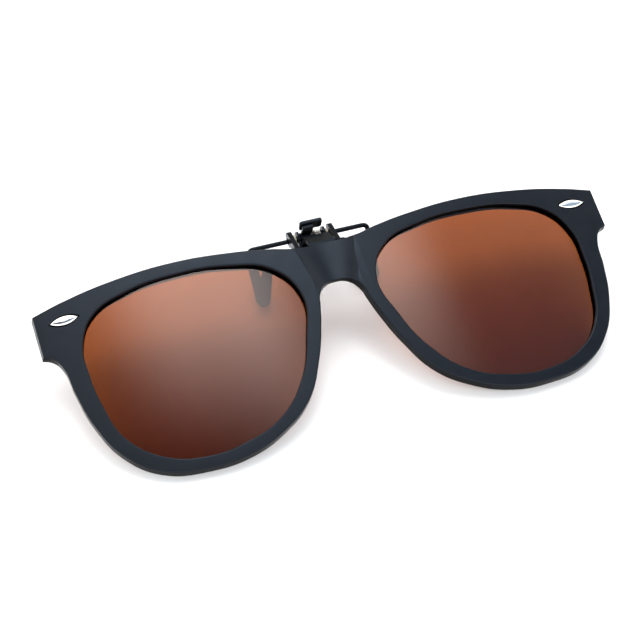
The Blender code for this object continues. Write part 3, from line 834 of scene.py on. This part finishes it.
def ear_mesh(x):
    """A sheet ear from the bridge's top back to the eye around the flip axis."""
    front, back, waist = (Vector((y - AXIS_BACK, z - AXIS_UP))
                          for y, z in (EAR_FRONT, EAR_BACK, EAR_WAIST))
    points = [tuple(waist), tuple(back), tuple(front)]
    start = atan2(-front.y, -front.x) + pi / 2
    for step in range(ARC_STEPS + 1):
        angle = start - pi * step / ARC_STEPS
        points.append((EAR_CROWN[0] + EAR_RADIUS * cos(angle),
                       EAR_CROWN[1] + EAR_RADIUS * sin(angle)))
    points.append((EAR_RADIUS * cos(start - pi), EAR_RADIUS * sin(start - pi)))
    return side_plate("ear", points, x, EAR_SHEET)


def base_block(low_x, high_x, bottom, top, front=BASE_FRONT):
    return box_mesh("bracket", front_point(low_x, front, bottom),
                    front_point(high_x, BASE_FRONT + SHEET, top))


def make_bracket():
    """A base with two shoulders and ears, and a narrower floor that carries the ramp."""
    top = FLOOR_HEIGHT + FLOOR_SHEET
    base = base_block(-BASE_HALF, BASE_HALF, BASE_LOW, BASE_TOP)
    middle = base_block(-RAMP_HALF, RAMP_HALF, BASE_LOW + BASE_STEP, top)
    floor = base_block(-RAMP_HALF, RAMP_HALF, FLOOR_HEIGHT, top, FLOOR_FRONT)
    run = Vector((cos(RAMP_SLOPE), sin(RAMP_SLOPE)))
    foot = Vector((FLOOR_FRONT + FLOOR_SHEET - AXIS_BACK, top - AXIS_UP))
    foot += Vector((run.y, -run.x)) * FLOOR_SHEET / 2
    ramp = bent_sheet("ramp", [foot, foot + run * RAMP_LENGTH], FLOOR_SHEET,
                      -RAMP_HALF, RAMP_HALF)
    extras = [middle, floor, ramp, ear_mesh(EAR_X), ear_mesh(-EAR_X)]
    inner = EAR_X - EAR_SHEET / 2
    extras.append(base_block(inner, BASE_HALF, BASE_LOW + BASE_STEP, SHOULDER_TOP))
    extras.append(base_block(-BASE_HALF, -inner, BASE_LOW + BASE_STEP, SHOULDER_TOP))
    mesh = join(base, *extras)
    cutters = []
    for side in (1, -1):
        bore = cylinder_mesh("bore", WIRE + GAP, 3 * EAR_SHEET, "X")
        cutters.append(moved(bore, (EAR_X * side, 0, 0)))
        hole = cylinder_mesh("hole", SCREW_RADIUS + GAP, 4 * SHEET, "Y")
        cutters.append(moved(hole, front_point(SCREW_X * side, BASE_FRONT, SCREW_Z)))
    mesh = cut(mesh, *cutters)
    piece("bracket_sheet", mesh, FRONT_PLACE, "front", "hinge_bracket",
          LACQUER, SOFT_EDGE)


def make_screw(side, label):
    """A slotted screw with a slightly domed head."""
    head_front = BASE_FRONT + SHEET + GAP
    tip = THICKNESS - SCREW_BITE
    top = head_front + SCREW_HEAD
    profile = [(SCREW_RADIUS * SCREW_POINT, tip), (SCREW_RADIUS, tip + SCREW_CHAMFER)]
    pitch = (head_front - tip - 2 * SCREW_CHAMFER) / SCREW_THREADS
    for index in range(SCREW_THREADS):
        low = tip + SCREW_CHAMFER + pitch * index
        profile.append((SCREW_RADIUS * SCREW_ROOT, low + pitch / 2))
        profile.append((SCREW_RADIUS, low + pitch))
    profile.append((SCREW_RADIUS, head_front))
    for width, rise in SCREW_HEAD_SHAPE:
        profile.append((SCREW_HEAD_RADIUS * width, head_front + SCREW_HEAD * rise))
    mesh = turned("screw", profile, "Y", SCREW_SIDES)
    half = SCREW_SLOT / 2
    slot = box_mesh("slot", (-SCREW_SLOT_REACH, -half, -half), (SCREW_SLOT_REACH, half, half))
    slot = moved(slot, (0, top, 0))
    mesh = moved(cut(mesh, slot), (SCREW_X * side, -AXIS_BACK, SCREW_Z - AXIS_UP))
    piece(f"slotted_screw_{label}", mesh, FRONT_PLACE, "front", f"bracket_screw_{label}",
          STEEL)


# ---------------------------------------------------------------- the clip

def make_channel():
    """Two cheeks on the flip axis, joined by a web behind it."""
    bar_y, bar_z = FRONT_BAR
    low = bar_z - THIN_WIRE - 2 * GAP
    web = box_mesh("channel", (-CHEEK_X, WEB_BACK - CHEEK_SHEET, low),
                   (CHEEK_X, WEB_BACK, CHEEK_RADIUS / 2))
    outline = [(WEB_BACK, low), (bar_y - 4 * GAP, low)]
    for step in range(ARC_STEPS + 1):
        angle = pi * CHEEK_ARC_START - pi * CHEEK_ARC_SWEEP * step / ARC_STEPS
        outline.append((CHEEK_RADIUS * cos(angle), CHEEK_RADIUS * sin(angle)))
    outline.append((WEB_BACK, CHEEK_RADIUS / 2))
    cheeks = [side_plate("cheek", outline, CHEEK_X * side, CHEEK_SHEET) for side in (1, -1)]
    mesh = join(web, *cheeks)
    cutters = []
    for side in (1, -1):
        x = CHEEK_X * side
        bore = cylinder_mesh("bore", WIRE + GAP, 3 * CHEEK_SHEET, "X")
        cutters.append(moved(bore, (x, 0, 0)))
        bore = cylinder_mesh("bore", THIN_WIRE + GAP, 3 * CHEEK_SHEET, "X")
        cutters.append(moved(bore, (x, bar_y, bar_z)))
    piece("channel_sheet", cut(mesh, *cutters), CLIP_PLACE, "clip", "clip_channel",
          LACQUER, SOFT_EDGE)


def make_bush(side, label):
    inner = CHEEK_X + CHEEK_SHEET / 2 + GAP
    outer = EAR_X - EAR_SHEET / 2 - GAP
    mesh = ring_mesh("bush", BUSH_RADIUS, WIRE + GAP, inner, outer, SOFT_EDGE)
    if side < 0:
        mesh = mirrored_mesh(mesh)
    piece(f"nylon_bush_{label}", mesh, CLIP_PLACE, "clip", f"friction_bush_{label}",
          NYLON)


def rear_leg():
    """Tip and top corner of the rear jaw's right prong."""
    return Vector((REAR_TIP_X, 0, -TIP_DROP)), Vector((BAR_HALF, 0, 0))


def make_wires():
    flip = Vector((-1, 1, 1))
    tip, corner = rear_leg()
    tip += (corner - tip).normalized() * PAD_HALF_DEPTH
    route = [tip, corner, corner * flip, tip * flip]
    mesh = tube_mesh("rear_wire", rounded_path(route, BEND), WIRE)
    piece("rear_wire", moved(mesh, (REAR_SHIFT, 0, 0)), CLIP_PLACE, "rear_jaw",
          "rear_jaw_wire", LACQUER)
    top, knee, tip = Vector((FRONT_BAR_HALF, *FRONT_BAR)), Vector(FRONT_KNEE), Vector(FRONT_TIP)
    tip += (knee - tip).normalized() * PAD_HALF_DEPTH
    route = [tip, knee, top, top * flip, knee * flip, tip * flip]
    mesh = tube_mesh("front_wire", rounded_path(route, BEND), THIN_WIRE)
    piece("front_wire", moved(mesh, (FRONT_SHIFT, 0, 0)), CLIP_PLACE, "clip",
          "front_jaw_wire", LACQUER)


def sleeve_mesh(length, bore, top_half, low_half):
    """A flattened, flaring sleeve with a lip, a round end and a bore from the top."""
    depth_of_bore = length - PAD_HALF_DEPTH + GAP
    profile = [(bore, bore, -depth_of_bore), (bore, bore, 0.0),
               (top_half - PAD_LIP, PAD_HALF_DEPTH - PAD_LIP, 0.0)]
    for row in range(PAD_ROWS + 1):
        drop = row / PAD_ROWS
        half = top_half + (low_half - top_half) * drop ** PAD_FLARE
        height = -PAD_LIP - (length - low_half - PAD_LIP) * drop
        waist = PAD_LIP * sin(min(drop * PAD_GROOVE, 1.0) * pi)
        profile.append((half - waist, PAD_HALF_DEPTH - waist, height))
    for step in range(1, PAD_END_ROWS):
        angle = pi / 2 * step / PAD_END_ROWS
        half = low_half * cos(angle)
        height = -(length - low_half) - low_half * sin(angle)
        profile.append((half, min(PAD_HALF_DEPTH * cos(angle) ** 0.5, half), height))
    rings = [[Vector((x, y, height)) for x, y in ellipse(half, depth, PAD_SIDES)]
             for half, depth, height in profile]
    return loft("sleeve", rings)


def make_sleeve(name, top, tip, wire, widths, body, node):
    """A sleeve over a prong, from its top down to its tip."""
    along = (tip - top).normalized()
    turn = Vector((0, 0, -1)).rotation_difference(along).to_matrix().to_4x4()
    mesh = sleeve_mesh((tip - top).length, wire + GAP / 2, *widths)
    mesh.transform(Matrix.Translation(top) @ turn)
    piece(name, mesh, CLIP_PLACE, body, node, RUBBER)


def make_sleeves():
    knee, tip = Vector(FRONT_KNEE), Vector(FRONT_TIP)
    for side, label in SIDES:
        flip = Vector((side, 1, 1))
        start = knee + (tip - knee).normalized() * PAD_TOP
        shift = Vector((FRONT_SHIFT, 0, 0))
        make_sleeve(f"front_sleeve_{label}", start * flip + shift, tip * flip + shift,
                    THIN_WIRE, FRONT_PAD, "clip", f"front_pad_{label}")
        rear_tip, corner = rear_leg()
        start = corner + (rear_tip - corner).normalized() * PAD_TOP
        shift = Vector((REAR_SHIFT, 0, 0))
        make_sleeve(f"rear_sleeve_{label}", start * flip + shift, rear_tip * flip + shift,
                    WIRE, REAR_PAD, "rear_jaw", f"rear_pad_{label}")


def make_lever():
    """A hub rolled round the bar, a neck and a tongue under the thumb pad."""
    hub = turned("lever", [(HUB_RADIUS, HUB_LOW_X), (HUB_RADIUS, HUB_HIGH_X)])
    along = Vector((cos(TAB_SLOPE), sin(TAB_SLOPE)))
    foot, top = Vector(NECK_FOOT), Vector(NECK_TOP)
    sheet = bent_sheet("neck", [foot, top, top + along * TONGUE], LEVER_SHEET,
                       NECK_X - NECK_HALF, NECK_X + NECK_HALF)
    middle = (HUB_LOW_X + HUB_HIGH_X) / 2
    bore = cylinder_mesh("bore", WIRE + GAP, 2 * (HUB_HIGH_X - HUB_LOW_X), "X")
    mesh = cut(join(hub, sheet), moved(bore, (middle, 0, 0)))
    piece("lever_sheet", mesh, CLIP_PLACE, "rear_jaw", "thumb_lever",
          LACQUER, SOFT_EDGE)


def make_thumb_pad():
    """A moulded pad with rounded corners and edges on the lever's tongue."""
    outline = []
    for corner_x, corner_y, start in ((1, 1, 0), (-1, 1, 1), (-1, -1, 2), (1, -1, 3)):
        centre_x = corner_x * (TAB_HALF - TAB_CORNER)
        centre_y = corner_y * (TAB_LENGTH / 2 - TAB_CORNER)
        for step in range(TAB_CORNER_STEPS + 1):
            angle = pi / 2 * (start + step / TAB_CORNER_STEPS)
            outline.append((centre_x + TAB_CORNER * cos(angle),
                            centre_y + TAB_CORNER * sin(angle)))
    mesh = polygon_plate("pad", outline, TAB_SHEET, TAB_EDGE)
    mesh.transform(Matrix.Rotation(-pi / 2, 4, "X") @ Matrix.Translation((0, -TAB_SHEET / 2, 0)))
    mesh.transform(Matrix.Rotation(TAB_SLOPE, 4, "X"))
    along = Vector((cos(TAB_SLOPE), sin(TAB_SLOPE)))
    outwards = Vector((along.y, -along.x))
    lift = (LEVER_SHEET + TAB_SHEET) / 2 + GAP
    centre = Vector(NECK_TOP) + along * TONGUE / 2 + outwards * lift
    piece("thumb_rest", moved(mesh, (0, *centre)), CLIP_PLACE, "rear_jaw", "thumb_pad",
          PLASTIC)


def make_spring():
    """The torsion spring around the bar, with a tail on the web and one by the neck."""
    points = [Vector((SPRING_START, -GAP, SPRING_RADIUS + SPRING_TAIL))]
    for step in range(SPRING_TURNS * SPRING_STEPS - SPRING_STEPS // 4 + 1):
        turns = step / SPRING_STEPS
        angle = pi / 2 - 2 * pi * turns
        points.append(Vector((SPRING_START + SPRING_PITCH * turns,
                              SPRING_RADIUS * cos(angle), SPRING_RADIUS * sin(angle))))
    points.append(Vector((SPRING_START + SPRING_TURNS * SPRING_PITCH,
                          WEB_BACK - CHEEK_SHEET - GAP - SPRING_WIRE,
                          FRONT_BAR[1] + 2 * GAP)))
    mesh = tube_mesh("coil", points, SPRING_WIRE, SPRING_ROUNDNESS)
    piece("torsion_coil", mesh, CLIP_PLACE, "clip", "jaw_spring", STEEL)


# ---------------------------------------------------------------- the studio

def make_floor():
    look = Shading("white_table")
    grain = look.noise(40.0, 3.0)
    look.feed("Base Color", look.ramp(grain, (0.90, 0.90, 0.90), (0.92, 0.92, 0.92)))
    look.set(Roughness=0.7, Specular_IOR_Level=0.2)
    work = bmesh.new()
    bmesh.ops.create_grid(work, x_segments=1, y_segments=1, size=FLOOR_HALF)
    floor = bpy.data.objects.new("floor", to_mesh(work, "floor"))
    floor.data.materials.append(look.material)
    bpy.context.scene.collection.objects.link(floor)


class Sky:
    """A new world and short ways to add its nodes."""

    def __init__(self, name):
        world = bpy.data.worlds.new(name)
        world.use_nodes = True
        bpy.context.scene.world = world
        self.nodes = world.node_tree.nodes
        self.links = world.node_tree.links
        coords = self.nodes.new("ShaderNodeTexCoord").outputs["Generated"]
        split = self.nodes.new("ShaderNodeSeparateXYZ")
        self.links.new(coords, split.inputs["Vector"])
        self.direction = split.outputs

    def math(self, operation, *values):
        """Arithmetic on sockets and plain numbers."""
        node = self.nodes.new("ShaderNodeMath")
        node.operation = operation
        for socket, value in zip(node.inputs, values):
            if isinstance(value, float):
                socket.default_value = value
            else:
                self.links.new(value, socket)
        return node.outputs[0]

    def times(self, first, second):
        return self.math("MULTIPLY", first, second)

    def slope(self, axis):
        """How far a direction leans along an axis, against its height."""
        return self.math("DIVIDE", self.direction[axis], self.direction["Z"])

    def scaled(self, source, low, high):
        node = self.nodes.new("ShaderNodeMapRange")
        node.inputs["From Min"].default_value = low
        node.inputs["From Max"].default_value = high
        self.links.new(source, node.inputs["Value"])
        return node.outputs["Result"]

    def graded(self, source, *stops):
        """Two stops of place and colour, with a soft passage between them."""
        node = self.nodes.new("ShaderNodeValToRGB")
        node.color_ramp.interpolation = "EASE"
        for stop, (place, value) in zip(node.color_ramp.elements, stops):
            stop.position = place
            stop.color = (*value, 1.0)
        self.links.new(source, node.inputs["Fac"])
        return node.outputs["Color"]

    def window(self, source, low, high, soft):
        """1 between two slopes, with soft sides."""
        start = self.scaled(source, low - soft, low + soft)
        end = self.scaled(source, high - soft, high + soft)
        return self.times(self.graded(start, (0.0, BLACK), (1.0, WHITE)),
                          self.graded(end, (0.0, WHITE), (1.0, BLACK)))


def ceiling_look(sky, across, dark):
    """White walls that turn into a dim ceiling, darker at the left than at the right."""
    place = sky.scaled(across, *CEILING_X)
    ceiling = sky.graded(place, (0.0, CEILING_LEFT), (1.0, CEILING_RIGHT))
    room = sky.nodes.new("ShaderNodeMixRGB")
    room.inputs["Color1"].default_value = (*WHITE, 1.0)
    sky.links.new(dark, room.inputs["Fac"])
    sky.links.new(ceiling, room.inputs["Color2"])
    return room.outputs["Color"]


def make_world():
    """A bright room with a dim ceiling and one soft lamp in it."""
    sky = Sky("studio")
    above = sky.graded(sky.direction["Z"], *CEILING_Z)
    across, away = sky.slope("X"), sky.slope("Y")
    dark = sky.times(sky.window(across, *DARK_X), sky.window(away, *DARK_Y))
    room = ceiling_look(sky, across, sky.times(dark, above))
    slanted = sky.math("MULTIPLY_ADD", across, LAMP_SLANT, away)
    lamp = sky.times(sky.window(across, *LAMP_X), sky.window(slanted, *LAMP_Y))
    room_light = sky.nodes["Background"]
    lamp_light = sky.nodes.new("ShaderNodeBackground")
    both = sky.nodes.new("ShaderNodeAddShader")
    sources = ((room_light, room, ROOM_LEVEL), (lamp_light, sky.times(lamp, above), LAMP_LEVEL))
    for socket, (light, colour, level) in zip(both.inputs, sources):
        light.inputs["Strength"].default_value = level
        sky.links.new(colour, light.inputs["Color"])
        sky.links.new(light.outputs["Background"], socket)
    sky.links.new(both.outputs["Shader"], sky.nodes["World Output"].inputs["Surface"])


def make_camera():
    back = Vector((sin(CAMERA_AZIMUTH) * cos(CAMERA_ELEVATION),
                   -cos(CAMERA_AZIMUTH) * cos(CAMERA_ELEVATION), sin(CAMERA_ELEVATION)))
    data = bpy.data.cameras.new("camera")
    data.lens = CAMERA_LENS
    data.sensor_width = CAMERA_SENSOR
    data.clip_start = CAMERA_NEAR
    camera = bpy.data.objects.new("camera", data)
    camera.location = CAMERA_AIM + back * CAMERA_DISTANCE
    camera.rotation_euler = (-back).to_track_quat("-Z", "Y").to_euler()
    bpy.context.scene.collection.objects.link(camera)
    bpy.context.scene.camera = camera


make_front()
make_bracket()
for piece_side, piece_label in SIDES:
    make_lens(piece_side, piece_label)
    make_rivet(piece_side, piece_label)
    make_screw(piece_side, piece_label)
    make_bush(piece_side, piece_label)
make_channel()
make_wires()
make_sleeves()
make_lever()
make_thumb_pad()
make_spring()

make_floor()
make_world()
make_camera()
bpy.context.scene.view_settings.view_transform = "Standard"
